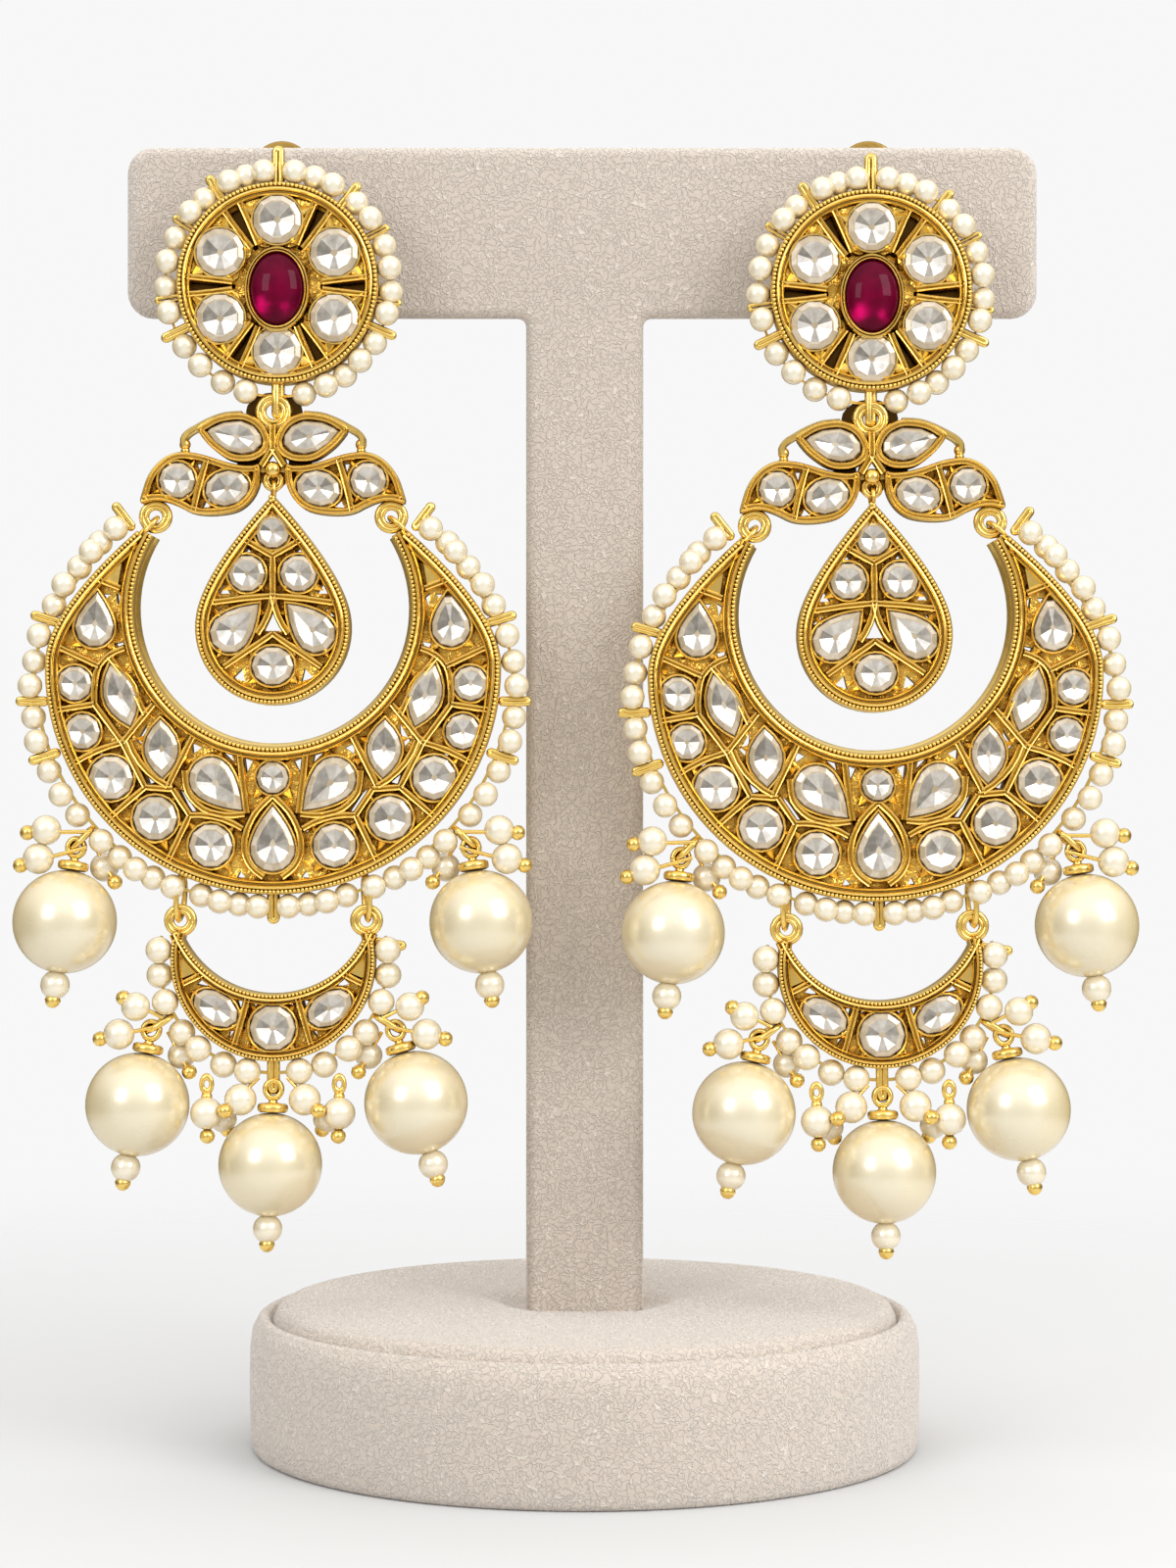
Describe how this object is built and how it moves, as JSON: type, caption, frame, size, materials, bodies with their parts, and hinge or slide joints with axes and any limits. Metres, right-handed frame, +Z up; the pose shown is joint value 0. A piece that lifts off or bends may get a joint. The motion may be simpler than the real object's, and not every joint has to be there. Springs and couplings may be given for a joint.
{
  "type": "pair of chandbali earrings on a t-bar display stand",
  "caption": "Gold crescent drop earrings with clear stones, red centres and pearl drops, hung as a pair from a velvet T-bar stand.",
  "frame": {"origin": "centre of the stand's underside", "axes": "+Z up, the earrings face -Y, the bar runs along X"},
  "size_m": [0.1083, 0.0666, 0.1293],
  "materials": {
    "velvet": "beige flocked velvet",
    "gold": "antique gold plate, polished on the high edges",
    "ruby": "polished cabochon",
    "polki": "clear faceted stone over foil",
    "pearl": "cream imitation pearl"
  },
  "bodies": {
    "stand_and_studs": {"stand_base": "velvet", "stand_tee": "velvet", "left_stud_frame": "gold", "left_ear_post": "gold", "left_ruby": "ruby", "left_polki_1": "polki", "left_polki_2": "polki", "left_polki_3": "polki", "left_polki_4": "polki", "left_polki_5": "polki", "left_polki_6": "polki", "right_stud_frame": "gold", "right_ear_post": "gold", "right_ruby": "ruby", "right_polki_1": "polki", "right_polki_2": "polki", "right_polki_3": "polki", "right_polki_4": "polki", "right_polki_5": "polki", "right_polki_6": "polki"},
    "left_leaf": {"left_leaf_link": "gold"},
    "left_inner_drop": {"left_teardrop": "gold"},
    "left_main_drop": {"left_crescent": "gold", "left_crescent_stone_1": "polki", "left_crescent_stone_2": "polki", "left_crescent_stone_3": "polki", "left_pearl_1": "pearl", "left_drop_pin_1": "gold", "left_pearl_2": "pearl", "left_drop_pin_2": "gold"},
    "left_lower_drop": {"left_small_crescent": "gold", "left_pearl_3": "pearl", "left_drop_pin_3": "gold", "left_pearl_4": "pearl", "left_drop_pin_4": "gold", "left_pearl_5": "pearl", "left_drop_pin_5": "gold"},
    "right_leaf": {"right_leaf_link": "gold"},
    "right_inner_drop": {"right_teardrop": "gold"},
    "right_main_drop": {"right_crescent": "gold", "right_crescent_stone_1": "polki", "right_crescent_stone_2": "polki", "right_crescent_stone_3": "polki", "right_pearl_1": "pearl", "right_drop_pin_1": "gold", "right_pearl_2": "pearl", "right_drop_pin_2": "gold"},
    "right_lower_drop": {"right_small_crescent": "gold", "right_pearl_3": "pearl", "right_drop_pin_3": "gold", "right_pearl_4": "pearl", "right_drop_pin_4": "gold", "right_pearl_5": "pearl", "right_drop_pin_5": "gold"}
  },
  "joints": [
    {"name": "left_leaf_swing", "type": "hinge", "parent": "stand_and_studs", "child": "left_leaf", "pos_m": [-0.0301, -0.0115, 0.1031], "axis": [-1, 0, 0], "range_deg": [-2, 40]},
    {"name": "left_inner_drop_swing", "type": "hinge", "parent": "left_leaf", "child": "left_inner_drop", "pos_m": [-0.0301, -0.0115, 0.09435], "axis": [-1, 0, 0], "range_deg": [-30, 30]},
    {"name": "left_main_drop_swing", "type": "hinge", "parent": "left_leaf", "child": "left_main_drop", "pos_m": [-0.0301, -0.0115, 0.09071], "axis": [-1, 0, 0], "range_deg": [-2, 30]},
    {"name": "left_lower_drop_swing", "type": "hinge", "parent": "left_main_drop", "child": "left_lower_drop", "pos_m": [-0.0301, -0.0115, 0.05375], "axis": [-1, 0, 0], "range_deg": [-30, 30]},
    {"name": "right_leaf_swing", "type": "hinge", "parent": "stand_and_studs", "child": "right_leaf", "pos_m": [0.02765, -0.0115, 0.1024], "axis": [-0.9998, 0, -0.0175], "range_deg": [-2, 40]},
    {"name": "right_inner_drop_swing", "type": "hinge", "parent": "right_leaf", "child": "right_inner_drop", "pos_m": [0.0278, -0.0115, 0.09365], "axis": [-0.9998, 0, -0.0175], "range_deg": [-30, 30]},
    {"name": "right_main_drop_swing", "type": "hinge", "parent": "right_leaf", "child": "right_main_drop", "pos_m": [0.02787, -0.0115, 0.09001], "axis": [-0.9998, 0, -0.0175], "range_deg": [-2, 30]},
    {"name": "right_lower_drop_swing", "type": "hinge", "parent": "right_main_drop", "child": "right_lower_drop", "pos_m": [0.02851, -0.0115, 0.05306], "axis": [-0.9998, 0, -0.0175], "range_deg": [-30, 30]}
  ]
}
